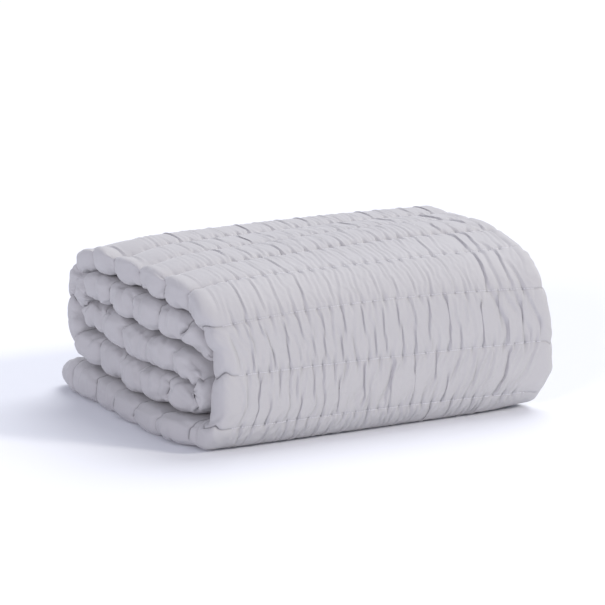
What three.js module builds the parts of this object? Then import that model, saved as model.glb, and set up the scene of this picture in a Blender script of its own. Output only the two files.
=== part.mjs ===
// A quilted coverlet, doubled twice across its width into a soft band of four plies.
// The band is then wrapped once round itself and folded back and forth into a stack that lies on a flat surface.
// Units are millimetres. X runs along the stack, -Y is its front, +Z is up.
import * as THREE from "three";

// Driving dimensions.
const COVERLET_WIDTH = 2400; // it is 2600 long
const BAND_WIDTH = COVERLET_WIDTH / 4; // doubled twice
const CHANNEL = 75; // between one line of quilting and the next
const FIRST_SEAM = 74; // from the outer hem to the first line of quilting
const OUTER_PLY = 18; // how far the taut outer ply lies from the middle of the plies
const SEAM_SINK = 4.5; // how far a line of quilting draws each face in
const SIDE_SINK = 8; // how far it draws in the folded sides
const SIDE_ROUND = 27; // how deep a folded side is rounded
const PRESSED = 6; // cloth lower than this is pressed flat on the surface below

// Colour and finish of the brushed microfibre cloth.
const CLOTH = { color: 0xcfcfd6, roughness: 0.85, metalness: 0 };

// The section, seen from the left end: a row for each bend and run of the band, from the outer hem to the inner one.
// y and z place a corner of the band's middle line, and bend is the radius that rounds it.
// thick is the band's thickness there. left and right are how far its folded sides stay short of the band's width.
const FOLDS = [
  { name: "outer hem", y: 286, z: 22, bend: 0, thick: 24, left: 12, right: 36 },
  { name: "loose flap", y: 232, z: 28, bend: 90, thick: 56, left: 0, right: 34 },
  { name: "floor run, back", y: 140, z: 23, bend: 200, thick: 46, left: 0, right: 38 },
  { name: "floor run, middle", y: 20, z: 19.5, bend: 300, thick: 39, left: 0, right: 38 },
  { name: "floor run, front", y: -100, z: 19.5, bend: 300, thick: 39, left: 0, right: 36 },
  { name: "front foot", y: -189, z: 20.5, bend: 25, thick: 41, left: 8, right: 30 },
  { name: "front face, low", y: -186, z: 62, bend: 200, thick: 45, left: 26, right: 10 },
  { name: "front face, middle", y: -180, z: 121, bend: 300, thick: 46, left: 30, right: 7 },
  { name: "front shoulder", y: -163, z: 209, bend: 66, thick: 50, left: 8, right: 14 },
  { name: "top, front", y: -30, z: 221, bend: 400, thick: 52, left: 2, right: 2 },
  { name: "top, back", y: 155, z: 229, bend: 100, thick: 45, left: 0, right: -2 },
  { name: "back shoulder", y: 234, z: 204, bend: 34, thick: 43, left: 2, right: 0 },
  { name: "back face", y: 247, z: 138, bend: 60, thick: 44, left: -3, right: 8 },
  { name: "back foot", y: 212, z: 84, bend: 34, thick: 44, left: 0, right: 14 },
  { name: "second run, back", y: 134, z: 75, bend: 150, thick: 54, left: 2, right: 18 },
  { name: "second run, middle", y: 30, z: 65.5, bend: 300, thick: 50, left: 0, right: 18 },
  { name: "second run, front", y: -70, z: 66.5, bend: 150, thick: 48, left: 2, right: 20 },
  { name: "front turn, low", y: -152, z: 54, bend: 18.5, thick: 35, left: 16, right: 24 },
  { name: "front turn, high", y: -139, z: 92, bend: 22, thick: 33, left: 18, right: 24 },
  { name: "third run, front", y: -92, z: 116, bend: 60, thick: 45, left: 6, right: 20 },
  { name: "third run, middle", y: 30, z: 117.5, bend: 300, thick: 51, left: 0, right: 18 },
  { name: "third run, back", y: 134, z: 131, bend: 200, thick: 50, left: 2, right: 18 },
  { name: "back turn, low", y: 192, z: 135, bend: 22, thick: 42, left: 6, right: 20 },
  { name: "back turn, high", y: 192, z: 180, bend: 22, thick: 42, left: 6, right: 20 },
  { name: "fourth run, back", y: 120, z: 178, bend: 200, thick: 45, left: 0, right: 18 },
  { name: "fourth run, middle", y: 30, z: 169, bend: 300, thick: 49, left: 0, right: 18 },
  { name: "fourth run, front", y: -50, z: 168, bend: 300, thick: 48, left: 2, right: 20 },
  { name: "tucked bend", y: -111, z: 161, bend: 30, thick: 44, left: 12, right: 22 },
  { name: "tucked end", y: -142, z: 126, bend: 90, thick: 26, left: 26, right: 28 },
  { name: "inner hem", y: -153, z: 105, bend: 0, thick: 9, left: 32, right: 30 },
];

// The band's middle line in the plane of Y and Z, with its corners rounded, and the length at which each row lies on it.
function middleLine(rows) {
  const corners = rows.map((row) => new THREE.Vector2(row.y, row.z));
  const line = new THREE.CurvePath();
  const reached = [0];
  let from = corners[0];
  for (let i = 1; i < rows.length - 1; i++) {
    const { bend } = rows[i];
    const ahead = corners[i].clone().sub(corners[i - 1]).normalize();
    const after = corners[i + 1].clone().sub(corners[i]).normalize();
    const turn = Math.atan2(ahead.cross(after), ahead.dot(after));
    const cut = bend * Math.tan(Math.abs(turn) / 2);
    const start = corners[i].clone().addScaledVector(ahead, -cut);
    const inward = new THREE.Vector2(-ahead.y, ahead.x).multiplyScalar(Math.sign(turn));
    const centre = start.clone().addScaledVector(inward, bend);
    const angle = Math.atan2(start.y - centre.y, start.x - centre.x);
    line.add(new THREE.LineCurve(from, start));
    const straightEnd = line.getLength();
    line.add(new THREE.EllipseCurve(centre.x, centre.y, bend, bend, angle, angle + turn, turn < 0));
    line.updateArcLengths();
    reached.push((straightEnd + line.getLength()) / 2);
    from = corners[i].clone().addScaledVector(after, cut);
  }
  line.add(new THREE.LineCurve(from, corners.at(-1)));
  line.updateArcLengths();
  reached.push(line.getLength());
  return { line, reached };
}

// A column of the table at a length along the band, eased from row to row.
function columnAt(column, length, reached) {
  const next = Math.max(1, reached.findIndex((mark) => mark >= length));
  const share = (length - reached[next - 1]) / (reached[next] - reached[next - 1]);
  const eased = THREE.MathUtils.smoothstep(share, 0, 1);
  return THREE.MathUtils.lerp(FOLDS[next - 1][column], FOLDS[next][column], eased);
}

// How much cloth the outermost ply takes to reach a length along the middle line. It lies taut round the outside of each
// bend, where the plies inside it bunch up.
function tautLength(length, line) {
  let done = 0;
  let taut = length;
  for (const piece of line.curves) {
    const covered = THREE.MathUtils.clamp(length - done, 0, piece.getLength());
    if (piece.isEllipseCurve) taut += (OUTER_PLY * covered) / piece.xRadius;
    done += piece.getLength();
  }
  return taut;
}

// How far the filling is drawn in at a length along the band: 1 on a line of quilting, 0 in the middle of a channel.
function drawnIn(length, line) {
  const phase = (Math.PI * (tautLength(length, line) - FIRST_SEAM)) / CHANNEL;
  return 1 - Math.sqrt(Math.abs(Math.sin(phase)));
}

// The lengths at which the band gets a ring of points: on and beside each line of quilting, and closely round a bend.
function ringLengths(line) {
  const seamSteps = [0, 0.14, 0.5, 0.86];
  const turnStep = Math.PI / 7;
  const least = 5;
  const walk = 0.5;
  const total = line.getLength();
  const stepAt = (length) => {
    const channels = (tautLength(length, line) - FIRST_SEAM) / CHANNEL + 1;
    return seamSteps.findLastIndex((step) => step <= channels % 1);
  };
  const wanted = [];
  for (let length = walk; length < total; length += walk)
    if (stepAt(length) !== stepAt(length - walk)) wanted.push(length);
  let done = 0;
  for (const piece of line.curves) {
    const length = piece.getLength();
    const steps = piece.isEllipseCurve ? Math.ceil(length / piece.xRadius / turnStep) : 1;
    for (let i = 1; i < steps; i++) wanted.push(done + (i / steps) * length);
    done += length;
  }
  wanted.sort((a, b) => a - b);
  const kept = [0];
  for (const length of wanted)
    if (length - kept.at(-1) >= least && total - length >= least) kept.push(length);
  return [...kept, total];
}

// One ring round the band: the outer face, the right side, the inner face and the left side.
// along and out are shares of the half width and the half thickness. round is how far the point stands into a
// rounded side, from 0 at a face to 1 at the side's nose.
function ringPlan() {
  const facePoints = [-1, -0.4, 0.4, 1];
  const sideAngles = [60, 30, 0, -30, -60].map(THREE.MathUtils.degToRad);
  const rounded = (side, angle) => ({ along: side, round: Math.cos(angle), out: Math.sin(angle) });
  return [
    ...facePoints.map((along) => ({ along, round: 0, out: 1 })),
    ...sideAngles.map((angle) => rounded(1, angle)),
    ...facePoints.map((along) => ({ along: -along, round: 0, out: -1 })),
    ...sideAngles.map((angle) => rounded(-1, -angle)),
  ];
}

// The whole band as one closed solid: its rings in order, joined, and closed at both hems.
function bandGeometry() {
  const { line, reached } = middleLine(FOLDS);
  const total = line.getLength();
  const plan = ringPlan();
  const lengths = ringLengths(line);
  const points = [];
  for (const length of lengths) {
    const middle = line.getPointAt(length / total);
    const ahead = line.getTangentAt(length / total);
    const sunk = drawnIn(length, line);
    const half = columnAt("thick", length, reached) / 2 - SEAM_SINK * sunk;
    const leftReach = BAND_WIDTH / 2 - columnAt("left", length, reached) - SIDE_SINK * sunk;
    const rightReach = BAND_WIDTH / 2 - columnAt("right", length, reached) - SIDE_SINK * sunk;
    for (const { along, round, out } of plan) {
      const flat = (along < 0 ? leftReach : rightReach) - SIDE_ROUND;
      const x = along * flat + Math.sign(along) * round * SIDE_ROUND;
      const y = middle.x - ahead.y * half * out;
      const z = middle.y + ahead.x * half * out;
      points.push(x, y, z < PRESSED ? 0 : z);
    }
  }
  const around = plan.length;
  const triangles = [];
  const quad = (a, b, c, d) => triangles.push(a, b, c, a, c, d);
  for (let ring = 0; ring + 1 < lengths.length; ring++)
    for (let i = 0; i < around; i++) {
      const here = ring * around;
      const beside = (i + 1) % around;
      quad(here + i, here + beside, here + around + beside, here + around + i);
    }
  // Each hem end is closed by strips from its outer face across to its inner one, from the left nose to the right.
  const leftNose = plan.findIndex(({ along, round }) => along < 0 && round === 1);
  const facing = (i) => (2 * leftNose + around - i) % around;
  const lastRing = (lengths.length - 1) * around;
  for (let step = 0; step < around / 2; step++) {
    const a = (leftNose + step) % around;
    const b = (a + 1) % around;
    const c = facing(b);
    const d = facing(a);
    if (a !== d) triangles.push(a, d, b, lastRing + a, lastRing + b, lastRing + d);
    if (b !== c) triangles.push(b, d, c, lastRing + b, lastRing + c, lastRing + d);
  }
  return new THREE.BufferGeometry()
    .setAttribute("position", new THREE.Float32BufferAttribute(points, 3))
    .setIndex(triangles);
}

const group = new THREE.Group();
const coverlet = new THREE.Mesh(bandGeometry(), new THREE.MeshStandardMaterial(CLOTH));
coverlet.name = "coverlet";
group.add(coverlet);

// The origin is under the middle of the stack, on the surface that it lies on.
const middle = new THREE.Box3().setFromObject(coverlet).getCenter(new THREE.Vector3());
coverlet.position.set(-middle.x, -middle.y, 0);

export default group;
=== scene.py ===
import math

import bpy
import numpy as np
from mathutils import Matrix, Vector


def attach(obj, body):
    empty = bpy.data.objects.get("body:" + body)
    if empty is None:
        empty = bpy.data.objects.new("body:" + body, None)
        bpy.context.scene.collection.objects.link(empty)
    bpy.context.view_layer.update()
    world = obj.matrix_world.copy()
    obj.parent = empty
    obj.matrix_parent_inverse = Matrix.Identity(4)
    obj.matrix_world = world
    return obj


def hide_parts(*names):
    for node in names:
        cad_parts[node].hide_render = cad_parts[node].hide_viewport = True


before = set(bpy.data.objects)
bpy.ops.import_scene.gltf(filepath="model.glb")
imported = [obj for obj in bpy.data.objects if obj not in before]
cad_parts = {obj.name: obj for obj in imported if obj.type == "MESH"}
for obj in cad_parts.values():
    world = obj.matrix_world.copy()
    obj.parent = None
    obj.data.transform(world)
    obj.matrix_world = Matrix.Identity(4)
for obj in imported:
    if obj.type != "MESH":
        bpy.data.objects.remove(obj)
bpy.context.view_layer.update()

# Coverlet. Two faces of brushed microfibre with a light wadding between them, stitched through in
# parallel channels. It is doubled twice across its width into a band of four plies. The band is wrapped
# once round itself and folded back and forth, and it lies loose, so all of it is one piece. Sizes here
# are millimetres.
MM = 0.001
BAND_WIDTH = 600  # the coverlet is 2400 wide
CHANNEL = 75  # between one line of quilting and the next
FIRST_SEAM = 74  # from the outer hem to the first line of quilting
OUTER_PLY = 18  # how far the taut outer ply lies from the middle of the plies
SIDE_ROUND = 27  # how deep a folded side is rounded

# The section, seen from the left end: a row for each bend and run of the band, from the outer hem to
# the inner one. y and z place a corner of the band's middle line, and bend is the radius that rounds
# it. thick is the band's thickness there. left and right are how far its folded sides stay short of the
# band's width.
FOLD_COLUMNS = ("y", "z", "bend", "thick", "left", "right")
FOLDS = {
    "outer hem": (296, 21, 0, 24, 3, 36),
    "loose flap": (232, 28, 90, 56, -5, 34),
    "floor run, back": (140, 23, 200, 46, -7, 38),
    "floor run, middle": (20, 19.5, 300, 39, -12, 38),
    "floor run, front": (-100, 19.5, 300, 39, -13, 36),
    "front foot": (-190, 20.5, 25, 41, 9, 30),
    "front face, low": (-186, 62, 200, 45, 26, 10),
    "front face, middle": (-180, 121, 300, 46, 30, 7),
    "front shoulder": (-163, 209, 66, 50, 8, 14),
    "top, front": (-30, 221, 400, 52, 2, 2),
    "top, back": (155, 229, 100, 45, 0, -2),
    "back shoulder": (234, 204, 34, 43, 2, 0),
    "back face": (247, 138, 60, 44, -3, 8),
    "back foot": (214, 84, 34, 44, -6, 14),
    "second run, back": (134, 75, 150, 54, 2, 18),
    "second run, middle": (30, 65.5, 300, 50, 0, 18),
    "second run, front": (-70, 66.5, 150, 48, 2, 20),
    "front turn, low": (-152, 54, 18.5, 35, 16, 24),
    "front turn, high": (-139, 92, 22, 33, 18, 24),
    "third run, front": (-92, 116, 60, 45, 6, 20),
    "third run, middle": (30, 117.5, 300, 51, 0, 18),
    "third run, back": (134, 131, 200, 50, -2, 18),
    "back turn, low": (195, 135, 22, 42, -5, 20),
    "back turn, high": (195, 180, 22, 42, -7, 20),
    "fourth run, back": (120, 178, 200, 45, -4, 18),
    "fourth run, middle": (30, 169, 300, 49, 0, 18),
    "fourth run, front": (-50, 168, 300, 48, 2, 20),
    "tucked bend": (-111, 161, 30, 44, 12, 22),
    "tucked end": (-142, 126, 90, 26, 32, 28),
    "inner hem": (-153, 105, 0, 9, 46, 30),
}
column = dict(zip(FOLD_COLUMNS, np.array(list(FOLDS.values()), float).T))


def middle_line():
    """The band's middle line as straight and round stretches, and the length at which each row lies on it.

    A stretch is where it starts, its heading, its curve, which is 0 where it is straight, and its length."""
    corners = np.stack([column["y"], column["z"]], 1)
    stretches = []
    marks = [0.0]
    at = corners[0]
    reached = 0.0
    for before, corner, after, radius in zip(corners, corners[1:], corners[2:], column["bend"][1:]):
        ahead = (corner - before) / np.linalg.norm(corner - before)
        onward = (after - corner) / np.linalg.norm(after - corner)
        turn = math.atan2(ahead[0] * onward[1] - ahead[1] * onward[0], ahead @ onward)
        cut = radius * math.tan(abs(turn) / 2)
        start = corner - cut * ahead
        straight = np.linalg.norm(start - at)
        heading = math.atan2(ahead[1], ahead[0])
        stretches.append((*at, heading, 0.0, straight))
        stretches.append((*start, heading, math.copysign(1 / radius, turn), radius * abs(turn)))
        reached += straight + radius * abs(turn)
        marks.append(reached - radius * abs(turn) / 2)
        at = corner + cut * onward
    last = corners[-1] - at
    stretches.append((*at, math.atan2(last[1], last[0]), 0.0, np.linalg.norm(last)))
    marks.append(reached + np.linalg.norm(last))
    return np.array(stretches), np.array(marks)


stretches, marks = middle_line()
starts = np.concatenate([[0], np.cumsum(stretches[:, 4])])
tauts = np.concatenate([[0], np.cumsum(stretches[:, 4] * (1 + OUTER_PLY * np.abs(stretches[:, 3])))])


def on_line(length):
    """The middle line's points, and the way that it heads, at these lengths."""
    which = np.clip(np.searchsorted(starts, length, side="right") - 1, 0, len(stretches) - 1)
    y, z, heading, curve, _ = np.moveaxis(stretches[which], -1, 0)
    run = length - starts[which]
    turned = heading + curve * run
    bent = curve != 0
    divisor = np.where(bent, curve, 1)
    across = np.where(bent, (np.sin(turned) - np.sin(heading)) / divisor, run * np.cos(heading))
    up = np.where(bent, (np.cos(heading) - np.cos(turned)) / divisor, run * np.sin(heading))
    return y + across, z + up, turned


def length_at(seam):
    """The length along the middle line of each line of quilting. They are even on the taut outer ply."""
    return np.interp(FIRST_SEAM + CHANNEL * seam, tauts, starts)


def eased(name, length):
    """A column of the table at these lengths, eased from row to row."""
    which = np.clip(np.searchsorted(marks, length), 1, len(marks) - 1)
    share = (length - marks[which - 1]) / (marks[which] - marks[which - 1])
    share = share * share * (3 - 2 * share)
    values = column[name]
    return values[which - 1] + (values[which] - values[which - 1]) * share


# The skin is a grid that runs from the band's inner face round its left side, over its outer face and
# round its right side to the inner face again. Its columns lie round the band and its rows along it.
# Where the outer face shows it is as fine as its puckers need, and elsewhere only its sides are.
SIDE_STEPS = 17
SIDE_ARC = 84  # round a folded side
SIDE_PLUMP = 3.2  # how much further the plies spread at a folded side
SIDE_SQUARE = 0.82  # 1 rounds a side like an ellipse, and less makes it squarer
# On the left, where the wrap is loose, the plies spread more and the side is rounder.
LEFT_PLUMP = {"seam": (5, 6, 8.5, 10.5, 13, 14.5), "plump": (0, 2.5, 3, 7, 7, 0)}
LEFT_ROUND = {"seam": (7, 9, 15, 16), "power": (1, 1.35, 1.35, 1)}
SHOWN_FIRST, SHOWN_LAST = 5, 16  # the lines of quilting between which the outer face shows
ROWS_BESIDE = (0.9, 3.0)  # rows that follow the crease of a line of quilting, at these distances from it
ROWS_BETWEEN = 17  # even steps between them
SETTLE_ROWS = 20  # in each channel, while the cloth settles
FINE_FACE, PLAIN_FACE = 246, 8  # columns on a face


def skin_columns(face_steps):
    """For each column: its share of the half width, how far it stands into a side, its share of the half
    thickness, and its place across the unrolled cloth."""
    angle = np.radians(np.linspace(-90, 90, SIDE_STEPS + 1))[:-1]
    face = np.linspace(-1, 1, face_steps + 1)
    face_width = BAND_WIDTH - 2 * SIDE_ROUND
    side_place = np.linspace(0, SIDE_ARC, SIDE_STEPS + 1)
    side_into = np.abs(np.cos(angle)) ** SIDE_SQUARE
    side_out = np.sign(angle) * np.abs(np.sin(angle)) ** SIDE_SQUARE
    along = np.concatenate([-np.ones(SIDE_STEPS), face, np.ones(SIDE_STEPS)])
    into = np.concatenate([side_into, np.zeros(face_steps + 1), side_into[::-1]])
    out = np.concatenate([side_out, np.ones(face_steps + 1), side_out[::-1]])
    place = np.concatenate([
        side_place[:-1] - SIDE_ARC,
        (face + 1) / 2 * face_width,
        face_width + side_place[1:],
    ])
    return along, into, out, place


# Where the wrap lies slack: how far a spot stands out from the rest of the band, or in where the number
# is less than 0. x is measured from the middle of the stack, seam is the line of quilting it lies at,
# and wide and long are its size. Each row is x, seam, wide, long, out.
SLACK = np.array([
    (140, 10.6, 220, 1.1, 13),
    (100, 12.6, 250, 0.9, 4),
    (-312, 12.0, 60, 2.4, -17),
    (-310, 7.6, 60, 2.0, -10),
    (310, 5.0, 75, 0.9, -15),
])
# How far the lines of quilting on the front have slipped down, at the left end, the middle and the
# right end, and how far their right ends have slipped aside, in mm.
SLIP_COLUMNS = ("seam", "left", "middle", "right", "aside")
SLIP = np.array([
    (4, 0, 0, 0, 0),
    (5, 0, 2, 4, -12),
    (6, 1, 1, 5, -10),
    (7, 2, 3, 8, 0),
    (8, 4, -3, 4, 0),
    (9, 0, 0, 0, 0),
])


def slipped(name, seam):
    """A column of that table at these lines of quilting."""
    return np.interp(seam, SLIP[:, 0], SLIP[:, SLIP_COLUMNS.index(name)])


def slack(x, seam):
    """How far the wrap stands out, or in, at these points."""
    total = np.zeros(np.broadcast_shapes(np.shape(x), np.shape(seam)))
    for spot_x, spot_seam, wide, long, out in SLACK:
        total = total + out * np.exp(-(((x - spot_x) / wide) ** 2) - ((seam - spot_seam) / long) ** 2)
    return total


# The loose flap's end is rounded to its hem, and so are its corners.
HEM_REACH = 34.0  # how far from the hem its rounding starts
HEM_THIN = 0.25  # the share of its thickness that is left at the hem
HEM_CORNER = 16.0  # how far the hem's ends draw in


def hem_round(length):
    """0 at the loose flap's hem, and 1 where the flap has its full thickness and width."""
    share = 1 - np.clip(length / HEM_REACH, 0, 1)
    return np.sqrt(1 - share * share)


def taut_points(seam, along, into, out):
    """Points of the band as it would lie with no quilting, a row for each seam number."""
    seam = np.broadcast_to(seam[:, None], (len(seam), len(along)))
    left, middle, right = (slipped(name, seam) for name in ("left", "middle", "right"))
    slip = middle + (right - left) / 2 * along + ((right + left) / 2 - middle) * along**2
    length = np.clip(length_at(seam) - slip, 0, starts[-1])
    y, z, heading = on_line(length)
    reach = BAND_WIDTH / 2 - np.where(along < 0, eased("left", length), eased("right", length)) - SIDE_ROUND
    reach = reach - HEM_CORNER * (1 - hem_round(length)) * np.abs(along)
    x = along * reach + np.sign(along) * into * SIDE_ROUND
    power = np.where(along < 0, np.interp(seam, LEFT_ROUND["seam"], LEFT_ROUND["power"]), 1)
    out = np.sign(out) * np.abs(out) ** power
    half = eased("thick", length) / 2 + slack(x, seam) * (out > 0) * out
    left_plump = np.interp(seam, LEFT_PLUMP["seam"], LEFT_PLUMP["plump"]) * (along < 0)
    half = half + (SIDE_PLUMP + left_plump) * into
    half = half * (HEM_THIN + (1 - HEM_THIN) * hem_round(length))
    y = y - np.sin(heading) * half * out
    z = z + np.cos(heading) * half * out
    return np.stack([x, y, z], 2)


# How a line of quilting draws the cloth in: into a fine crease, with a soft hollow on both sides of it.
HOLLOW = {"seam": (4, 5, 6, 8, 9, 10, 13, 14), "hollow": (2.5, 0.3, 0.6, 0.8, 2.0, 4.0, 4.5, 3.5)}
# Beside the left side the hollows are deeper, and on the top the channels swell up between them like
# sausages.
HOLLOW_LEFT = {"seam": (7, 8, 9, 10, 13, 14), "hollow": (0.8, 2.5, 4.0, 4.0, 4.0, 3.0)}
LOBES_LEFT = {"seam": (7.5, 9, 10, 14, 15), "depth": (0, 4, 8, 8, 4)}
LEFT_REACH = 150  # how far in from the left side
SIDE_HOLLOW = {"seam": (0, 4, 6, 7, 9, 13, 15), "hollow": (4.5, 4.5, 3.0, 4.0, 7.0, 7.0, 6.0)}
HOLLOW_WIDTH = 10.0
HEM_LINE = 7.0  # from the hem to the line of stitches that closes it
HEM_LINE_DEPTH, HEM_LINE_WIDTH = 1.2, 1.0
HEM_ROWS = (0.8, 4.0, 7.0, 8.0)  # rows that follow the hem and its line, at these distances from the edge
FACE_CREASE, SIDE_CREASE = 0.85, 4.5  # depth
FACE_CREASE_WIDTH, SIDE_CREASE_WIDTH = 0.5, 1.3
SIDE_GAIN = 1.4  # how soon a folded side's hollows and creases take over from those of the face


def round_share(place):
    """How far round a folded side a place is: 0 on a face, 1 where the side stands out most."""
    face_width = BAND_WIDTH - 2 * SIDE_ROUND
    beyond = np.maximum(-place, place - face_width)
    return np.sin(np.pi * np.clip(beyond / SIDE_ARC, 0, 1))


def from_line(seam):
    """How far each row lies from the nearest line of quilting, in mm."""
    return CHANNEL * np.abs(seam - np.round(seam))[:, None]


# The wrap's right side lies calmer than the rest.
CALM_RIGHT = {"seam": (4, 5, 14, 15), "calm": (0.9, 0.4, 0.4, 0.9)}


def calmness(seam, place):
    """How strongly the folded sides are drawn in and crumpled, from 0 to 1."""
    right = np.interp(seam, CALM_RIGHT["seam"], CALM_RIGHT["calm"])[:, None]
    return np.where(place > BAND_WIDTH / 2, right, 1.0)


def hollow(seam, place):
    """How deep the soft hollows beside the lines of quilting are at each point."""
    face = np.interp(seam, HOLLOW["seam"], HOLLOW["hollow"])[:, None]
    left = np.interp(seam, HOLLOW_LEFT["seam"], HOLLOW_LEFT["hollow"])[:, None]
    near_left = np.clip(1 - place / LEFT_REACH, 0, 1) ** 2
    face = face * (1 - near_left) + np.maximum(left, face) * near_left
    side = np.interp(seam, SIDE_HOLLOW["seam"], SIDE_HOLLOW["hollow"])[:, None] * calmness(seam, place)
    share = np.minimum(SIDE_GAIN * round_share(place), 1)
    swelling = 1 - np.sqrt(np.abs(np.sin(np.pi * seam)))
    lobes = np.interp(seam, LOBES_LEFT["seam"], LOBES_LEFT["depth"]) * swelling
    lobes = lobes[:, None] * near_left * np.clip((place + SIDE_ARC) / SIDE_ARC * 2, 0, 1)
    return (face * (1 - share) + side * share) * np.exp(-from_line(seam) / HOLLOW_WIDTH) + lobes


def crease(seam, place):
    """How deep the fine creases of the lines of quilting and of the hem's own line are at each point."""
    share = np.minimum(SIDE_GAIN * round_share(place), 1)
    depth = FACE_CREASE + (SIDE_CREASE * calmness(seam, place) - FACE_CREASE) * share
    width = FACE_CREASE_WIDTH + (SIDE_CREASE_WIDTH - FACE_CREASE_WIDTH) * share
    from_hem_line = np.abs(CHANNEL * seam + FIRST_SEAM - HEM_LINE)[:, None]
    hem_line = HEM_LINE_DEPTH * np.exp(-from_hem_line / HEM_LINE_WIDTH)
    return depth * np.exp(-from_line(seam) / width) + hem_line


# The needle sews a group of five stitches and skips, and the cloth bunches into a pinch at each skip.
GROUP = 20.0  # from one skip to the next
GROUP_UNEVEN = 1.3
PINCH_WIDTH = 2.5  # across the band
PINCH_LENGTH = 7.5  # along it
PINCH_DEPTH = {"seam": (5, 8, 9, 10), "depth": (3.2, 3.0, 3.4, 5.5)}
rng = np.random.default_rng(41)
seam_count = int((tauts[-1] - FIRST_SEAM) / CHANNEL) + 1
skips = []
for _ in range(seam_count):
    count = int((BAND_WIDTH + 2 * SIDE_ARC) / GROUP)
    steps = rng.normal(GROUP, GROUP_UNEVEN, count)
    skips.append(np.cumsum(steps) - SIDE_ARC - rng.uniform(0, GROUP))


def pinches(seam, place):
    """1 in the middle of each skip, and 0 away from it."""
    total = np.zeros((len(seam), len(place)))
    for number in range(seam_count):
        gap = np.abs(place[:, None] - skips[number][None]).min(1)
        beside = np.exp(-((CHANNEL * (seam - number) / PINCH_LENGTH) ** 2))
        total += beside[:, None] * np.exp(-((gap / PINCH_WIDTH) ** 2))
    return total


# The furrows of the puckers. One runs from each skip across the channel to the nearest skip of the next
# line, a little bowed, and so some of them meet. Low on the right of the front they slant. Shorter and
# fainter ones lie between them. The wall on a furrow's right is steep. On its left the cloth falls
# gently, and faster beside the furrow.
SLANT = {"seam": (5, 6, 7), "slant": (8, 12, 0)}
BOW, SWAY = 1.8, 1.2  # how far a furrow strays to one side, and to both
FURROW = {"seam": (5, 6, 8, 9, 10, 14), "depth": (2.3, 2.3, 1.4, 0.5, 0.3, 0.4)}
FURROW_STEEP, FURROW_NEAR, FURROW_GENTLE = 2.4, 2.4, 9.0
# The share of a furrow's depth that is left on a line of quilting.
FURROW_FLUSH = {"seam": (5, 8, 9, 10), "flush": (0.6, 0.6, 0.35, 0.15)}
FLUSH_WIDTH = 4.0  # how far from a line of quilting a furrow reaches its depth
VIGOUR, FAINT_VIGOUR = (0.45, 1.0), (0.25, 0.75)  # the share of the full depth, weakest and strongest
FAINT_ONES = 3.2  # for each of the others
FAINT_DRIFT = 3  # how far a faint one ends from straight across


def face_share(place):
    """How far across the face a place is: 0 at its left edge, 1 at its right one."""
    return np.clip(place / (BAND_WIDTH - 2 * SIDE_ROUND), 0, 1)


vigour = [rng.uniform(*VIGOUR, len(line)) for line in skips]


def furrow_courses(number):
    """A row for each furrow of a channel: where it starts and ends, how strong it is at both, where along its
    course it is deepest, how far from there it fades, its bow and its sway."""
    low, high = skips[number], skips[number + 1]
    slant = np.interp(number, SLANT["seam"], SLANT["slant"])
    upward = np.abs((low + slant * face_share(low))[:, None] - high[None]).argmin(1)
    downward = np.abs((high - slant * face_share(high))[:, None] - low[None]).argmin(1)
    pairs = np.concatenate([
        np.stack([np.arange(len(low)), upward], 1),
        np.stack([downward, np.arange(len(high))], 1),
    ])
    start, end = np.unique(pairs, axis=0).T
    count = len(start)
    strong = [low[start], high[end], vigour[number][start], vigour[number + 1][end],
              rng.choice((0.0, 1.0), count), rng.uniform(0.35, 1.0, count)]
    count = int(len(low) * FAINT_ONES)
    start = rng.uniform(low[0], low[-1], count)
    end = start + slant * face_share(start) + rng.normal(0, FAINT_DRIFT, count)
    strength = rng.uniform(*FAINT_VIGOUR, count)
    faint = [start, end, strength, strength, rng.uniform(0, 1, count), rng.uniform(0.2, 0.5, count)]
    courses = np.concatenate([np.stack(strong, 1), np.stack(faint, 1)])
    return np.hstack([courses, rng.normal(0, (BOW, SWAY), (len(courses), 2))])


furrowed = [furrow_courses(number) for number in range(seam_count - 1)]


def furrows(seam, place):
    """How deep the furrows are at each point."""
    depth = np.zeros((len(seam), len(place)))
    for row, number in enumerate(seam):
        courses = furrowed[min(int(number), len(furrowed) - 1)]
        low, high, low_vigour, high_vigour, deepest, reach, bow, sway = courses.T
        part = number - int(number)
        across = low + (high - low) * part * part * (3 - 2 * part)
        across = across + bow * math.sin(math.pi * part) + sway * math.sin(2 * math.pi * part)
        strength = low_vigour + (high_vigour - low_vigour) * part
        strength = strength * np.exp(-(((part - deepest) / reach) ** 2))
        gap = place[:, None] - across[None]
        gentle = 0.6 * np.exp(-np.abs(gap) / FURROW_NEAR) + 0.4 * np.exp(-np.abs(gap) / FURROW_GENTLE)
        fall = np.where(gap > 0, np.exp(-((np.abs(gap) / FURROW_STEEP) ** 1.5)), gentle)
        depth[row] = (strength * fall).max(1)
    flush = np.interp(seam, FURROW_FLUSH["seam"], FURROW_FLUSH["flush"])[:, None]
    depth *= np.interp(seam, FURROW["seam"], FURROW["depth"])[:, None]
    return depth * (1 - (1 - flush) * np.exp(-((from_line(seam) / FLUSH_WIDTH) ** 2)))


# The furrows of the folded sides. They start where the cloth is nipped between two runs, and fade on
# their way round.
SIDE_FURROWS = {"seam": (0, 5, 7, 9, 13, 15), "count": (1.5, 1.5, 2, 3, 5, 7)}  # in each channel
SIDE_FURROW_DEPTH = 10
SIDE_SLANT = 15
SIDE_STEEP, SIDE_GENTLE = 3.4, 8.0


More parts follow.
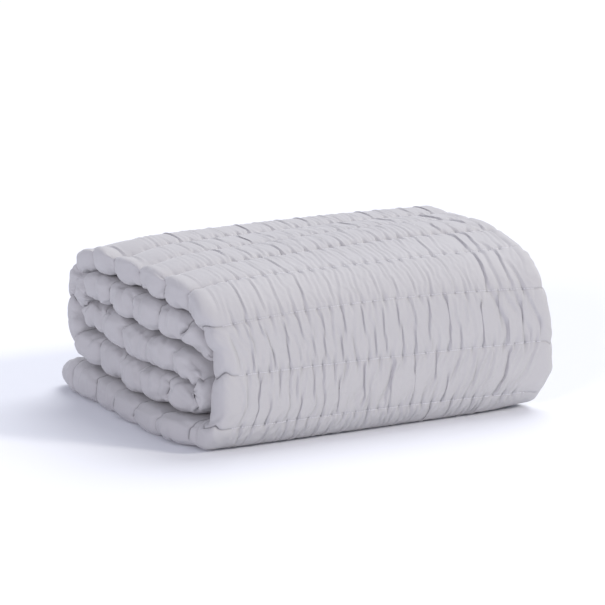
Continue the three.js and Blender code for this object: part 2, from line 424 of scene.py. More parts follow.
def side_courses(number):
    """A row for each furrow in a channel of one folded side: its place along the band, its slant, its
    strength, where round the side it is deepest and how far from there it fades."""
    count = rng.poisson(np.interp(number, SIDE_FURROWS["seam"], SIDE_FURROWS["count"]))
    along = CHANNEL * (number + rng.uniform(0.08, 0.92, count))
    outer = 0.9 if SHOWN_FIRST <= number < SHOWN_LAST else 0.1  # the wrap is only nipped inside
    deepest = rng.choice((outer, 0.9), count)
    return np.stack([along, rng.normal(0, SIDE_SLANT, count), rng.uniform(0.35, 1, count), deepest,
                     rng.uniform(0.3, 0.75, count)], 1)


side_furrowed = {
    way: np.concatenate([side_courses(number) for number in range(-1, seam_count)])
    for way in (-1, 1)
}


def side_furrows(seam, place):
    """How deep the furrows of the folded sides are at each point."""
    depth = np.zeros((len(seam), len(place)))
    face_width = BAND_WIDTH - 2 * SIDE_ROUND
    for way, beyond in ((-1, -place), (1, place - face_width)):
        share = beyond / SIDE_ARC
        for along, slant, strength, deepest, reach in side_furrowed[way]:
            near = np.flatnonzero(np.abs(CHANNEL * seam - along) < 40)
            gap = (CHANNEL * seam[near] - along)[:, None] - slant * (share - 0.5)[None]
            steep = np.exp(-((np.abs(gap) / SIDE_STEEP) ** 1.5))
            fall = np.where(gap > 0, steep, np.exp(-np.abs(gap) / SIDE_GENTLE))
            fade = strength * np.exp(-(((share - deepest) / reach) ** 2)) * (share > -0.2)
            depth[near] = np.maximum(depth[near], fall * fade)
    depth *= SIDE_FURROW_DEPTH * calmness(seam, place)
    return depth * np.minimum(from_line(seam) / 8, 1) * np.minimum(2 * round_share(place) + 0.2, 1)


# The long soft creases that cross the right part of the wrap, each with its width, its depth, the seam
# number where it is deepest, and its course as x from the middle of the stack and seam number, from the
# back to the front. The wall on its right is steep, and the cloth stands up in a low crest beyond it.
CREASE_CREST = 0.3
CREASE_FAINT = 0.4  # the share of its depth that is left far from where it is deepest
CREASE_LONG = 1.3  # over how many channels it fades to that
CREASES = {
    "long crease": (2.8, 4.6, 7.6, (
        (183, 10.4), (196, 9.7), (195, 8.9), (191, 8.1), (204, 7.6), (212, 7.3),
        (209, 7.0), (215, 6.8), (212, 6.3), (205, 6.0), (172, 5.5),
    )),
    "second crease": (2.4, 3.0, 8.0, (
        (212, 10.2), (219, 9.7), (214, 9.0), (210, 8.5), (213, 8.0), (225, 7.7),
        (237, 7.5), (243, 7.2), (247, 6.8), (250, 6.5), (243, 6.2),
    )),
    "third crease": (2.2, 2.6, 8.0, (
        (229, 9.3), (235, 8.9), (232, 8.4), (235, 7.9), (244, 7.4), (252, 7.2), (255, 6.7),
    )),
    "right crease": (2.2, 2.2, 7.9, ((246, 8.5), (252, 8.1), (258, 7.8), (270, 7.4))),
    "step on the top": (4.5, 2.6, 10.7, ((225, 11.8), (236, 11.0), (246, 10.4), (262, 10.1))),
    "low crease, left": (3.0, 2.8, 6.5, ((-46, 6.85), (-45, 6.5), (-66, 6.2))),
    "low crease, middle": (3.0, 2.8, 6.5, ((8, 6.85), (2, 6.5), (-9, 6.2))),
}


def creased(place, seam):
    """How deep the long creases are at each point, in mm."""
    spot = np.stack(np.broadcast_arrays(place[None], CHANNEL * seam[:, None]), 2)
    total = np.zeros(spot.shape[:2])
    for width, deepest, middle, course in CREASES.values():
        fading = np.exp(-(((seam - middle) / CREASE_LONG) ** 2))
        depth = deepest * (CREASE_FAINT + (1 - CREASE_FAINT) * fading)[:, None]
        corners = np.array(course) * (1, CHANNEL) + (BAND_WIDTH / 2 - SIDE_ROUND, 0)
        gap = np.full(spot.shape[:2], np.inf)
        for first, last in zip(corners, corners[1:]):
            way = last - first
            from_first = spot - first
            share = np.clip((from_first @ way) / (way @ way), 0, 1)[..., None]
            distance = np.linalg.norm(from_first - share * way, axis=2)
            right = way[0] * from_first[..., 1] - way[1] * from_first[..., 0] > 0
            gap = np.where(distance < np.abs(gap), np.where(right, distance, -distance), gap)
        wall = np.where(gap > 0, np.exp(-np.abs(gap / width) ** 1.5), np.exp(-np.abs(gap) / width / 1.8))
        crest = CREASE_CREST * np.exp(-(((gap - 2.3 * width) / width) ** 2))
        total = np.maximum(total, depth * wall) - depth * crest
    return total


# On the folded sides the four plies' lines of quilting don't lie quite on each other, so a line there
# wanders.
WANDER = 5.0
WANDER_STATIONS = np.linspace(0, 1, 6)  # round a side
stray_rng = np.random.default_rng(7)
strays = {way: stray_rng.normal(0, WANDER, (seam_count + 4, len(WANDER_STATIONS))) for way in (-1, 1)}


def stray(seam, place):
    """How far the cloth of the folded sides has strayed along the band."""
    total = np.zeros((len(seam), len(place)))
    low = np.floor(seam).astype(int)
    part = (seam - low)[:, None]
    for way, beyond in ((-1, -place), (1, place - BAND_WIDTH + 2 * SIDE_ROUND)):
        share = np.clip(beyond / SIDE_ARC, 0, 1)
        lines = np.stack([np.interp(share, WANDER_STATIONS, line) for line in strays[way]])
        total += (lines[low + 1] * (1 - part) + lines[low + 2] * part) * np.sin(np.pi * share)
    return total


def smoothed(values, times, axis):
    """The values blurred along one axis."""
    for _ in range(times):
        values = (np.roll(values, 1, axis) + 2 * values + np.roll(values, -1, axis)) / 4
    return values


def settle(place, seam, furrowed_face):
    """Lets cloth that is longer than its room buckle over the wadding, with its quilting and its edges held.
    Returns how far each point has moved across, along and out."""
    stretch = 0.2  # pull of a thread that is 1 mm too long
    bias = 0.03  # the same across the weave
    bending = 0.0005
    side = round_share(place)
    wadding = 0.003 - 0.0018 * side  # push of the wadding for each mm that it is pressed
    lifting = 0.6 + 0.4 * side  # the share of that with which it holds cloth that lifts off
    drag = 0.06
    unevenness = 0.12
    down = CHANNEL * seam
    long_crease = creased(place, seam)
    sag = np.interp(seam, np.arange(-1, seam_count + 2), rng.normal(0, SIDE_UNEVEN, seam_count + 3))
    rest = smoothed(sag, 12, 0)[:, None] * side * calmness(seam, place)
    rest = rest - hollow(seam, place) - long_crease - 0.5 * side_furrows(seam, place)
    if furrowed_face:
        rest -= furrows(seam, place) * face_part_of(seam, place) * np.interp(seam, (5, 6), (0, 1))[:, None]
    spare_across, spare_along = spare(seam, place)
    spare_across = spare_across * (1 + 0.3 * long_crease)
    held = np.zeros(rest.shape, bool)
    held[np.abs(seam - np.round(seam)) < 1e-6] = True
    held[[0, -1]] = True
    held[:, [0, -1]] = True
    upright, level = (
        smoothed(smoothed(rng.normal(size=rest.shape), few, 1 - axis), 40, axis)
        for axis, few in ((0, 2), (1, 1))
    )
    noise = upright / upright.std() * (1 - side) + level / level.std() * side
    start = np.where(held, rest, rest + unevenness * noise)
    flat_x, flat_y = np.meshgrid(place, down)
    aside = slipped("aside", seam)[:, None] * face_share(place) * (1 - side)
    points = np.stack([flat_x + aside, flat_y, start], 2)
    across = np.diff(place) * (1 + (spare_across[:, 1:] + spare_across[:, :-1]) / 2)
    along = np.diff(down)[:, None] * (1 + (spare_along[1:] + spare_along[:-1]) / 2)
    slanted = np.hypot((across[1:] + across[:-1]) / 2, (along[:, 1:] + along[:, :-1]) / 2)
    every, fore, rear = slice(None), slice(None, -1), slice(1, None)
    threads = (
        ((every, fore), (every, rear), across, stretch),
        ((fore, every), (rear, every), along, stretch),
        ((fore, fore), (rear, rear), slanted, bias),
        ((fore, rear), (rear, fore), slanted, bias),
    )
    speed = np.zeros_like(points)
    for _ in range(ROUNDS):
        push = np.zeros_like(points)
        for one, other, natural, strength in threads:
            gap = points[other] - points[one]
            pull = (strength * (1 - natural / np.sqrt((gap * gap).sum(2))))[..., None] * gap
            push[one] += pull
            push[other] -= pull
        height = points[..., 2]
        fold = height[2:] + height[:-2] - 2 * height[1:-1]
        push[2:, :, 2] -= bending * fold
        push[:-2, :, 2] -= bending * fold
        push[1:-1, :, 2] += 2 * bending * fold
        fold = height[:, 2:] + height[:, :-2] - 2 * height[:, 1:-1]
        push[:, 2:, 2] -= bending * fold
        push[:, :-2, 2] -= bending * fold
        push[:, 1:-1, 2] += 2 * bending * fold
        above = height - rest
        push[..., 2] -= np.where(above > 0, lifting, 1) * wadding * above
        speed = speed * (1 - drag) + push
        speed[held] = 0
        points = points + speed
    return points - np.stack([flat_x, flat_y, np.zeros_like(start)], 2)


def settled(place, seam, furrowed_face):
    """Settles the cloth on even rows, brings it to the rows wanted, and draws in its creases and pinches.

    The other half of the side furrows is drawn in here, so that the cloth can't bridge them."""
    first, last = math.floor(seam[0]), math.ceil(seam[-1])
    even = np.arange(first * SETTLE_ROWS, last * SETTLE_ROWS + 1) / SETTLE_ROWS
    shift = settle(place, even, furrowed_face)
    at = np.clip((seam - even[0]) * SETTLE_ROWS, 0, len(even) - 1)
    low = np.minimum(at.astype(int), len(even) - 2)
    share = (at - low)[:, None, None]
    shift = shift[low] * (1 - share) + shift[low + 1] * share
    pinch_depth = np.interp(seam, PINCH_DEPTH["seam"], PINCH_DEPTH["depth"])[:, None]
    shift[..., 1] += stray(seam, place)
    shift[..., 2] -= 0.5 * side_furrows(seam, place)
    pinch_depth = pinch_depth * (0.3 + 0.7 * face_part_of(seam, place))
    shift[..., 2] -= crease(seam, place) + pinch_depth * pinches(seam, place)
    return shift


def moved(base, shift):
    """Carries the shifts of the unrolled cloth to where it lies."""
    across = np.gradient(base, axis=1)
    along = np.gradient(base, axis=0)
    across /= np.linalg.norm(across, axis=2, keepdims=True)
    along /= np.linalg.norm(along, axis=2, keepdims=True)
    out = np.cross(across, along)
    out /= np.linalg.norm(out, axis=2, keepdims=True)
    return base + across * shift[..., :1] + along * shift[..., 1:2] + out * shift[..., 2:]


# How much longer the cloth is than its room: across the band, where the wadding has shrunk, and along it.
SPARE_ACROSS = {
    "seam": (4, 5, 5.5, 6, 7.7, 8.3, 9.2, 10, 14),
    "spare": (0.02, 0.0, 0.05, 0.12, 0.13, 0.06, 0.05, 0.08, 0.08),
}
SPARE_ALONG = 0.015
SIDE_SPARE_ACROSS = 0.02
SIDE_SPARE_ALONG = {"seam": (16, 18), "spare": (0.02, 0.07)}  # the inner runs are bunched up more
SIDE_UNEVEN = 1.8  # how unevenly the folded sides stand out
SMOOTH_EDGE = 17  # how far in from a folded side the face lies smooth
# The same at the left, and further on the top.
SMOOTH_LEFT = {"seam": (8, 10, 14, 15), "reach": (17, 95, 110, 40)}
ROUNDS = 300


def face_part_of(seam, place):
    """0 on a folded side and beside it, and 1 on the rest of the face."""
    left = np.interp(seam, SMOOTH_LEFT["seam"], SMOOTH_LEFT["reach"])[:, None]
    inside = np.clip(np.minimum(place / left, (BAND_WIDTH - 2 * SIDE_ROUND - place) / SMOOTH_EDGE), 0, 1)
    return inside * inside * (3 - 2 * inside)


def spare(seam, place):
    """Spare cloth across and along the band at each point."""
    face_across = np.interp(seam, SPARE_ACROSS["seam"], SPARE_ACROSS["spare"])[:, None]
    side_along = np.interp(seam, SIDE_SPARE_ALONG["seam"], SIDE_SPARE_ALONG["spare"])[:, None]
    across = SIDE_SPARE_ACROSS + (face_across - SIDE_SPARE_ACROSS) * face_part_of(seam, place)
    along = SPARE_ALONG + (side_along * calmness(seam, place) - SPARE_ALONG) * round_share(place)
    return across, along


first_seam = -FIRST_SEAM / CHANNEL
last_seam = (tauts[-1] - FIRST_SEAM) / CHANNEL
beside = np.array(ROWS_BESIDE)
even_rows = np.linspace(beside[-1], CHANNEL - beside[-1], ROWS_BETWEEN + 1)
rows = np.concatenate([[0], beside[:-1], even_rows, CHANNEL - beside[:-1][::-1]]) / CHANNEL
all_rows = (np.arange(-1, seam_count + 1)[:, None] + rows).ravel()
all_rows = np.unique(np.concatenate([all_rows, first_seam + np.array(HEM_ROWS) / CHANNEL]))
flap = np.append(first_seam, all_rows[(all_rows > first_seam + 0.01) & (all_rows < 0)])
before = all_rows[(all_rows >= 0) & (all_rows < SHOWN_FIRST)]
shown = all_rows[(all_rows >= SHOWN_FIRST) & (all_rows <= SHOWN_LAST)]
after = np.append(all_rows[(all_rows > SHOWN_LAST) & (all_rows < last_seam - 0.02)], last_seam)


def shown_skin():
    """The skin where the outer face shows, with all its puckers."""
    columns = skin_columns(FINE_FACE)
    return moved(taut_points(shown, *columns[:3]), settled(columns[3], shown, True))


def plain_skin(seam, steps):
    """The skin where only its sides show: they settle, and the face between them is quilted evenly."""
    columns = skin_columns(steps)
    place = columns[3]
    shift = np.zeros((len(seam), len(place), 3))
    shift[..., 2] = -hollow(seam, place) - crease(seam, place)
    for side in (slice(0, SIDE_STEPS + 1), slice(-SIDE_STEPS - 1, None)):
        shift[:, side] = settled(place[side], seam, False)
    shift *= hem_round(length_at(seam))[:, None, None]
    return moved(taut_points(seam, *columns[:3]), shift)


FLAP_FACE = 110  # columns on the faces of the loose flap, whose inner face shows from behind
FLAP_PUCKER = 18  # its furrows are those of a channel that is hidden, this many times as deep
FLAP_PINCH = 5.0  # and this deep where they are pinched
FLAP_PUCKER_WIDE = 1.7  # this many times as wide
FLAP_PUCKER_FROM = 20  # and this many channels further on


def inner_face(seam, steps):
    """The band's inner face, from its right side to its left. Where it is hidden it is quilted evenly."""
    along = np.linspace(1, -1, steps + 1)[1:-1]
    out = -np.ones_like(along)
    base = taut_points(seam, along, np.zeros_like(along), out)
    heading = on_line(length_at(seam))[2]
    normal = np.stack([np.zeros_like(heading), np.sin(heading), -np.cos(heading)], 1)[:, None]
    middle = np.full(len(along), BAND_WIDTH / 2)
    depth = hollow(seam, middle) + crease(seam, middle)
    if steps == FLAP_FACE:
        place = (1 - along) * (BAND_WIDTH / 2 - SIDE_ROUND)
        alike = (seam + FLAP_PUCKER_FROM, place / FLAP_PUCKER_WIDE)
        depth += (FLAP_PUCKER * furrows(*alike) + FLAP_PINCH * pinches(*alike)) * face_part_of(seam, place)
        depth *= hem_round(length_at(seam))[:, None]
    return base - normal * depth[..., None]


class Cloth:
    """Points and faces of the coverlet, with each corner's place on the unrolled cloth."""

    def __init__(self):
        self.points = []
        self.faces = []
        self.places = []

    def add_points(self, grid):
        first = sum(len(rows) for rows in self.points)
        self.points.append(grid.reshape(-1, 3))
        return first + np.arange(grid.shape[0] * grid.shape[1]).reshape(grid.shape[:2])

    def add_grid(self, index, across, along):
        """Quads over a grid of points."""
        place = np.stack(np.broadcast_arrays(across[None], along[:, None]), 2)
        for values, kept in ((index, self.faces), (place, self.places)):
            quads = np.stack([values[:-1, :-1], values[:-1, 1:], values[1:, 1:], values[1:, :-1]], 2)
            kept.extend(quads.reshape(-1, 4, *values.shape[2:]).tolist())

    def add_zip(self, low, high, low_across, high_across, low_along, high_along):
        """Triangles between two rows of points that have different counts."""
        i = j = 0
        while i < len(low) - 1 or j < len(high) - 1:
            low_next = (i + 1) / (len(low) - 1)
            high_next = (j + 1) / (len(high) - 1)
            here, there = (low_across[i], low_along), (high_across[j], high_along)
            if low_next <= high_next:
                self.faces.append([low[i], low[i + 1], high[j]])
                self.places.append([here, (low_across[i + 1], low_along), there])
                i += 1
            else:
                self.faces.append([low[i], high[j + 1], high[j]])
                self.places.append([here, (high_across[j + 1], high_along), there])
                j += 1


cloth = Cloth()
seams = [flap, before, shown, after]
face_steps = [FLAP_FACE, PLAIN_FACE, FINE_FACE, PLAIN_FACE]
inner_steps = [FLAP_FACE, PLAIN_FACE, PLAIN_FACE, PLAIN_FACE]
flap_points = plain_skin(np.append(flap, 0), FLAP_FACE)[:-1]
before_points = plain_skin(np.append(before, SHOWN_FIRST), PLAIN_FACE)[:-1]
shown_points = shown_skin()
after_points = plain_skin(np.insert(after, 0, SHOWN_LAST), PLAIN_FACE)[1:]
skin_index = [cloth.add_points(skin) for skin in (flap_points, before_points, shown_points, after_points)]
inner_index = [cloth.add_points(inner_face(seam, steps)) for seam, steps in zip(seams, inner_steps)]
face_width = BAND_WIDTH - 2 * SIDE_ROUND
inner_places = [face_width + SIDE_ARC + np.linspace(0, face_width, steps + 1) for steps in inner_steps]
inner_rings = [
    np.hstack([skin[:, -1:], inner, skin[:, :1]])
    for skin, inner in zip(skin_index, inner_index)
]
for skin, inner, inner_place, seam, steps in zip(skin_index, inner_rings, inner_places, seams, face_steps):
    cloth.add_grid(skin, skin_columns(steps)[3], CHANNEL * seam)
    cloth.add_grid(inner, inner_place, CHANNEL * seam)
left_side, right_side = slice(0, SIDE_STEPS + 1), slice(-SIDE_STEPS - 1, None)
face_part = slice(SIDE_STEPS, -SIDE_STEPS)
for k in range(len(seams) - 1):
    along = CHANNEL * np.array([seams[k][-1], seams[k + 1][0]])
    low, high = skin_index[k][-1], skin_index[k + 1][0]
    low_place, high_place = skin_columns(face_steps[k])[3], skin_columns(face_steps[k + 1])[3]
    for part in (left_side, right_side):
        cloth.add_grid(np.stack([low[part], high[part]]), low_place[part], along)
    cloth.add_zip(inner_rings[k][-1], inner_rings[k + 1][0], inner_places[k], inner_places[k + 1], *along)
    cloth.add_zip(low[face_part], high[face_part], low_place[face_part], high_place[face_part], *along)

# At each hem the four plies end side by side, each turned in to a small round edge.
HEM_STEPS = 16
HEM_BULGE = 3.0
PLIES = 4


def close_hem(skin, inner, outward, flipped, seam):
    """Closes the band's end, from its left nose to its right one."""
    half = (SIDE_STEPS + 1) // 2
    outer_edge = skin[half:len(skin) - half]
    inner_edge = np.concatenate([skin[:half][::-1], inner[::-1], skin[-half:][::-1]])
    points = np.concatenate(cloth.points)
    share = np.linspace(0, 1, HEM_STEPS + 1)[:, None, None]
    grid = points[outer_edge] * (1 - share) + points[inner_edge] * share
    thickness = np.linalg.norm(points[outer_edge] - points[inner_edge], axis=1)
    lobes = np.sqrt(np.abs(np.sin(PLIES * np.pi * share)))
    grid = grid + outward * lobes * HEM_BULGE * (thickness / thickness.max())[None, :, None]
    index = np.vstack([outer_edge, cloth.add_points(grid[1:-1]), inner_edge])
    across = points[outer_edge][:, 0] + BAND_WIDTH / 2
    along = CHANNEL * seam - share[:, 0, 0] * thickness.max()
    if flipped:
        index = index[:, ::-1]
        across = across[::-1]
    cloth.add_grid(index, across, along)
    for end, order in ((0, (0, 1)), (-1, (1, 0))):
        for step in range(1, HEM_STEPS):
            pair = [step + order[0], step + order[1]]
            cloth.faces.append([int(index[row, end]) for row in [0] + pair])
            cloth.places.append([(across[end], along[row]) for row in [0] + pair])


for which, row, way in ((0, 0, -1), (-1, -1, 1)):
    hem_seam = seams[which][row]
    heading = on_line(length_at(np.array([hem_seam])))[2][0]
    onward = way * np.array([0, math.cos(heading), math.sin(heading)])
    close_hem(skin_index[which][row], inner_index[which][row], onward, way < 0, hem_seam)

# The frame's origin is under the middle of the stack, and its foot is pressed flat on the surface below.
FRAME_SHIFT = (-0.37, -39.91, 0)
points = np.concatenate(cloth.points) + FRAME_SHIFT
points[:, 2] = np.maximum(points[:, 2], 0)

mesh = bpy.data.meshes.new("coverlet-cloth")
mesh.from_pydata((points * MM).tolist(), [], cloth.faces)
layer = mesh.uv_layers.new(name="unrolled")
corners = np.array([corner for face in cloth.places for corner in face], np.float32) * MM
layer.data.foreach_set("uv", corners.ravel())
mesh.shade_smooth()
coverlet = bpy.data.objects.new("coverlet-cloth", mesh)
bpy.context.scene.collection.objects.link(coverlet)


def colour(hex_value):
    """An sRGB hex value as linear red, green and blue."""
    parts = [(hex_value >> shift & 255) / 255 for shift in (16, 8, 0)]
    linear = [part / 12.92 if part <= 0.04045 else ((part + 0.055) / 1.055) ** 2.4 for part in parts]
    return (*linear, 1.0)


def add_node(tree, kind, settings=None, **inputs):
    """Adds a node with its settings, and links or sets its inputs."""
    node = tree.nodes.new(kind)
    for name, value in (settings or {}).items():
        setattr(node, name, value)
    for name, value in inputs.items():
        socket = node.inputs[name.replace("_", " ")]
        if isinstance(value, bpy.types.NodeSocket):
            tree.links.new(value, socket)
        else:
            socket.default_value = value
    return node


FACE_SEAM_SHADE, SIDE_SEAM_SHADE = 0.9, 0.5  # painted shade: the cloth's colour is multiplied by these along each line of quilting, where its crease holds shade
SEAM_SHADE_WIDTH = 2.2
SIDE_SHADE_FROM, SIDE_SHADE_TO = 8, 36  # how far round a folded side the deeper painted shade starts, and is full
NAP, CRUMPLES, TONES = 900.0, 120.0, 18.0  # tufts of the nap, crumples and patches of tone to a metre
NAP_DEPTH, CRUMPLE_DEPTH = 0.4, 1.2


def brushed_microfibre():
    """Polyester microfibre, woven fine and brushed: matt, with a soft glow at grazing angles and no shine.

    Its nap and its crumples are drawn coarser than they are, so that they show."""
    material = bpy.data.materials.new("brushed microfibre")
    material.use_nodes = True
    tree = material.node_tree
    tree.nodes.clear()
    place = add_node(tree, "ShaderNodeUVMap", {"uv_map": "unrolled"})
    split = add_node(tree, "ShaderNodeSeparateXYZ", Vector=place.outputs["UV"])
    channel = add_node(tree, "ShaderNodeMath", {"operation": "PINGPONG"})
    tree.links.new(split.outputs["Y"], channel.inputs[0])
    channel.inputs[1].default_value = CHANNEL * MM / 2
    soft_step = {"interpolation_type": "SMOOTHSTEP"}
    # Painted shade: the colour darkens within SEAM_SHADE_WIDTH of each line of quilting, and more on the
    # folded sides.
    painted_crease_shade = add_node(tree, "ShaderNodeMapRange", soft_step, Value=channel.outputs["Value"])
    painted_crease_shade.inputs["From Max"].default_value = SEAM_SHADE_WIDTH * MM
    half_face = BAND_WIDTH / 2 - SIDE_ROUND
    middle = add_node(tree, "ShaderNodeMath", {"operation": "SUBTRACT"})
    tree.links.new(split.outputs["X"], middle.inputs[0])
    middle.inputs[1].default_value = half_face * MM
    aside = add_node(tree, "ShaderNodeMath", {"operation": "ABSOLUTE"})
    tree.links.new(middle.outputs["Value"], aside.inputs[0])
    on_side = add_node(tree, "ShaderNodeMapRange", soft_step, Value=aside.outputs["Value"])
    on_side.inputs["From Min"].default_value = (half_face + SIDE_SHADE_FROM) * MM
    on_side.inputs["From Max"].default_value = (half_face + SIDE_SHADE_TO) * MM
    on_side.inputs["To Min"].default_value = FACE_SEAM_SHADE
    on_side.inputs["To Max"].default_value = SIDE_SEAM_SHADE
    tree.links.new(on_side.outputs["Result"], painted_crease_shade.inputs["To Min"])
    nap = add_node(tree, "ShaderNodeTexNoise", Vector=place.outputs["UV"], Scale=NAP, Detail=3.0)
    crumple = add_node(tree, "ShaderNodeTexNoise", Vector=place.outputs["UV"], Scale=CRUMPLES, Detail=4.0)
    tone = add_node(tree, "ShaderNodeTexNoise", Vector=place.outputs["UV"], Scale=TONES, Detail=3.0)
    shade = add_node(tree, "ShaderNodeMix", {"data_type": "RGBA"})
    tree.links.new(tone.outputs["Fac"], shade.inputs["Factor"])
    shade.inputs["A"].default_value = colour(0xB6B5B7)
    shade.inputs["B"].default_value = colour(0xBCBBBD)
    fine = add_node(tree, "ShaderNodeBump", Height=nap.outputs["Fac"], Strength=0.25,
                    Distance=NAP_DEPTH * MM)
    soft = add_node(tree, "ShaderNodeBump", Height=crumple.outputs["Fac"], Strength=0.5,
                    Distance=CRUMPLE_DEPTH * MM)
    tree.links.new(fine.outputs["Normal"], soft.inputs["Normal"])
    # The painted shade of the lines of quilting is multiplied into the cloth's colour.
    crease_shaded_colour = add_node(tree, "ShaderNodeMix", {"data_type": "RGBA", "blend_type": "MULTIPLY"})
    crease_shaded_colour.inputs["Factor"].default_value = 1.0
    tree.links.new(shade.outputs["Result"], crease_shaded_colour.inputs["A"])
    tree.links.new(painted_crease_shade.outputs["Result"], crease_shaded_colour.inputs["B"])
    cloth_shader = add_node(
        tree, "ShaderNodeBsdfPrincipled", Base_Color=crease_shaded_colour.outputs["Result"], Normal=soft.outputs["Normal"],
        Roughness=0.78, Sheen_Weight=0.25, Sheen_Roughness=0.4,
    )
    add_node(tree, "ShaderNodeOutputMaterial", Surface=cloth_shader.outputs["BSDF"])
    return material


mesh.materials.append(brushed_microfibre())
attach(coverlet, "root")
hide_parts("coverlet")

# Stitches. Polyester thread in the lines of quilting: the needle sews five small stitches, skips, and
# sews five more. Each is a short bead of thread that lies in its line, drawn a little into the cloth.
STITCHES = 5  # in a group
STITCH = (1.05, 0.85, 0.75)  # half its length, width and height
STITCH_MARGIN = 3.2  # from the middle of a skip to the nearest stitch's middle
STITCH_LIFT = 0.35  # of a stitch's middle over the cloth


def stitch_rows():
    """Each line of quilting on the face that shows: its number, places and points, and the way they face."""
    place = skin_columns(FINE_FACE)[3][face_part]
    across = np.gradient(shown_points, axis=1)
    along = np.gradient(shown_points, axis=0)
    out = np.cross(across, along)
    out /= np.linalg.norm(out, axis=2, keepdims=True)
    for row in np.flatnonzero(np.abs(shown - np.round(shown)) < 1e-6):
        yield int(round(shown[row])), place, shown_points[row, face_part], out[row, face_part]


middles, directions, normals = [], [], []
for number, place, line, out in stitch_rows():
    for first, last in zip(skips[number], skips[number][1:]):
        at = np.linspace(first + STITCH_MARGIN, last - STITCH_MARGIN, STITCHES)
        at = at[(at > place[0] + STITCH[0]) & (at < place[-1] - STITCH[0])]
        for spot in at:
            here, ahead, normal = (
                np.array([np.interp(spot + step, place, rows[:, axis]) for axis in range(3)])
                for rows, step in ((line, 0), (line, STITCH[0]), (out, 0))
            )
            normal /= np.linalg.norm(normal)
            middles.append(here + FRAME_SHIFT + STITCH_LIFT * normal)
            directions.append((ahead - here) / np.linalg.norm(ahead - here))
            normals.append(normal)

stitch_points = bpy.data.meshes.new("stitch-points")
stitch_points.from_pydata((np.array(middles) * MM).tolist(), [], [])
for name, vectors in (("along", directions), ("out", normals)):
    attribute = stitch_points.attributes.new(name, "FLOAT_VECTOR", "POINT")
    attribute.data.foreach_set("vector", np.array(vectors, np.float32).ravel())


def polyester_thread():
    """Spun polyester thread: a shade lighter than the cloth, smooth enough to catch a soft glint."""
    material = bpy.data.materials.new("spun polyester thread")
    material.use_nodes = True
    tree = material.node_tree
    tree.nodes.clear()
    shader = add_node(tree, "ShaderNodeBsdfPrincipled", Base_Color=colour(0xE8E8EC), Roughness=0.5)
    add_node(tree, "ShaderNodeOutputMaterial", Surface=shader.outputs["BSDF"])
    return material


def stitching():
    """A node tree that puts a bead of thread on each point, along its seam."""
    tree = bpy.data.node_groups.new("stitching", "GeometryNodeTree")
    tree.interface.new_socket("Geometry", in_out="INPUT", socket_type="NodeSocketGeometry")
    tree.interface.new_socket("Half size", in_out="INPUT", socket_type="NodeSocketVector")
    tree.interface.new_socket("Thread", in_out="INPUT", socket_type="NodeSocketMaterial")
    tree.interface.new_socket("Geometry", in_out="OUTPUT", socket_type="NodeSocketGeometry")
    given = add_node(tree, "NodeGroupInput")
    bead = add_node(tree, "GeometryNodeMeshUVSphere", Segments=6, Rings=4, Radius=1.0)
    sized = add_node(tree, "GeometryNodeTransform", Geometry=bead.outputs["Mesh"],
                     Scale=given.outputs["Half size"])
    along = add_node(tree, "GeometryNodeInputNamedAttribute", {"data_type": "FLOAT_VECTOR"}, Name="along")
    out = add_node(tree, "GeometryNodeInputNamedAttribute", {"data_type": "FLOAT_VECTOR"}, Name="out")
    turn = add_node(tree, "FunctionNodeAxesToRotation", {"primary_axis": "Z", "secondary_axis": "X"})
    tree.links.new(out.outputs["Attribute"], turn.inputs["Primary Axis"])
    tree.links.new(along.outputs["Attribute"], turn.inputs["Secondary Axis"])
    placed = add_node(tree, "GeometryNodeInstanceOnPoints", Points=given.outputs["Geometry"],
                      Instance=sized.outputs["Geometry"], Rotation=turn.outputs["Rotation"])
    real = add_node(tree, "GeometryNodeRealizeInstances", Geometry=placed.outputs["Instances"])
    smooth = add_node(tree, "GeometryNodeSetShadeSmooth", Geometry=real.outputs["Geometry"])
    dressed = add_node(tree, "GeometryNodeSetMaterial", Geometry=smooth.outputs["Geometry"],
                       Material=given.outputs["Thread"])
    result = tree.nodes.new("NodeGroupOutput")
    tree.links.new(dressed.outputs["Geometry"], result.inputs["Geometry"])
    return tree


sewn = bpy.data.objects.new("stitch-points", stitch_points)
bpy.context.scene.collection.objects.link(sewn)
modifier = sewn.modifiers.new("stitching", "NODES")
modifier.node_group = stitching()
sockets = {
    item.name: item.identifier
    for item in modifier.node_group.interface.items_tree
    if item.in_out == "INPUT"
}
modifier[sockets["Half size"]] = [size * MM for size in STITCH]
modifier[sockets["Thread"]] = polyester_thread()
evaluated = sewn.evaluated_get(bpy.context.evaluated_depsgraph_get())
stitch_mesh = bpy.data.meshes.new_from_object(evaluated)
stitch_mesh.name = "stitches"
bpy.data.objects.remove(sewn)
stitches = bpy.data.objects.new("stitches", stitch_mesh)
bpy.context.scene.collection.objects.link(stitches)
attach(stitches, "root")

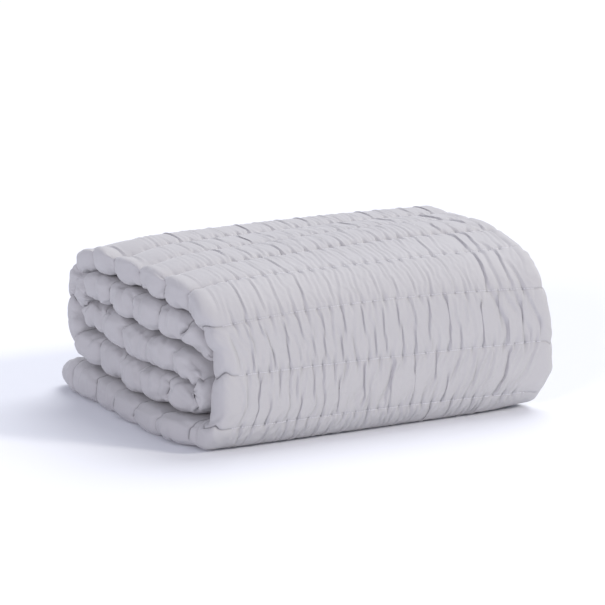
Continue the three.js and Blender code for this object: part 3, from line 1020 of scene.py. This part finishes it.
# Floor, lights and camera: a plain pale surface under soft studio light, seen from the photograph's
# angle.
FLOOR_REACH = 12.0  # metres from the middle to each edge
floor_corners = [(FLOOR_REACH * x, FLOOR_REACH * y, 0) for x, y in ((-1, -1), (1, -1), (1, 1), (-1, 1))]
floor_mesh = bpy.data.meshes.new("floor")
floor_mesh.from_pydata(floor_corners, [], [(0, 1, 2, 3)])
floor = bpy.data.objects.new("floor", floor_mesh)
bpy.context.scene.collection.objects.link(floor)
paper = bpy.data.materials.new("matt white paper")
paper.use_nodes = True
paper.node_tree.nodes["Principled BSDF"].inputs["Base Color"].default_value = colour(0xF1F3F8)
paper.node_tree.nodes["Principled BSDF"].inputs["Roughness"].default_value = 0.9
floor_mesh.materials.append(paper)

world = bpy.data.worlds.new("white studio")
world.use_nodes = True
world.node_tree.nodes["Background"].inputs["Color"].default_value = colour(0xE7E9F6)
world.node_tree.nodes["Background"].inputs["Strength"].default_value = 0.56
bpy.context.scene.world = world
bpy.context.scene.view_settings.view_transform = "Standard"


def soft_light(name, source, strength, softness, tint):
    """A far soft light that shines from source towards the stack. softness is its width in degrees."""
    light = bpy.data.lights.new(name, "SUN")
    light.color = colour(tint)[:3]
    light.energy = strength
    light.angle = math.radians(softness)
    lamp = bpy.data.objects.new(name, light)
    bpy.context.scene.collection.objects.link(lamp)
    lamp.rotation_euler = Vector(source).to_track_quat("Z", "Y").to_euler()


soft_light("front left", (-0.80, -0.52, 0.30), 0.93, 14, 0xFBF4FF)
soft_light("front right", (0.62, -0.62, 0.47), 1.3, 10, 0xFFF9EE)
soft_light("behind right", (0.50, 0.34, 0.80), 1.8, 45, 0xFBFCFF)

camera_data = bpy.data.cameras.new("camera")
camera_data.sensor_width = 36
camera_data.lens = 178.5
camera_data.clip_end = 100
camera = bpy.data.objects.new("camera", camera_data)
bpy.context.scene.collection.objects.link(camera)
CAMERA_PLACE = Vector((-2.1838, -3.8506, 1.0798))
CAMERA_AZIMUTH, CAMERA_ELEVATION = math.radians(-29.5), math.radians(11.9)
forward = Vector((
    -math.sin(CAMERA_AZIMUTH) * math.cos(CAMERA_ELEVATION),
    math.cos(CAMERA_AZIMUTH) * math.cos(CAMERA_ELEVATION),
    -math.sin(CAMERA_ELEVATION),
))
turned = forward.to_track_quat("-Z", "Y").to_matrix().to_4x4()
camera.matrix_world = Matrix.Translation(CAMERA_PLACE) @ turned
bpy.context.scene.camera = camera
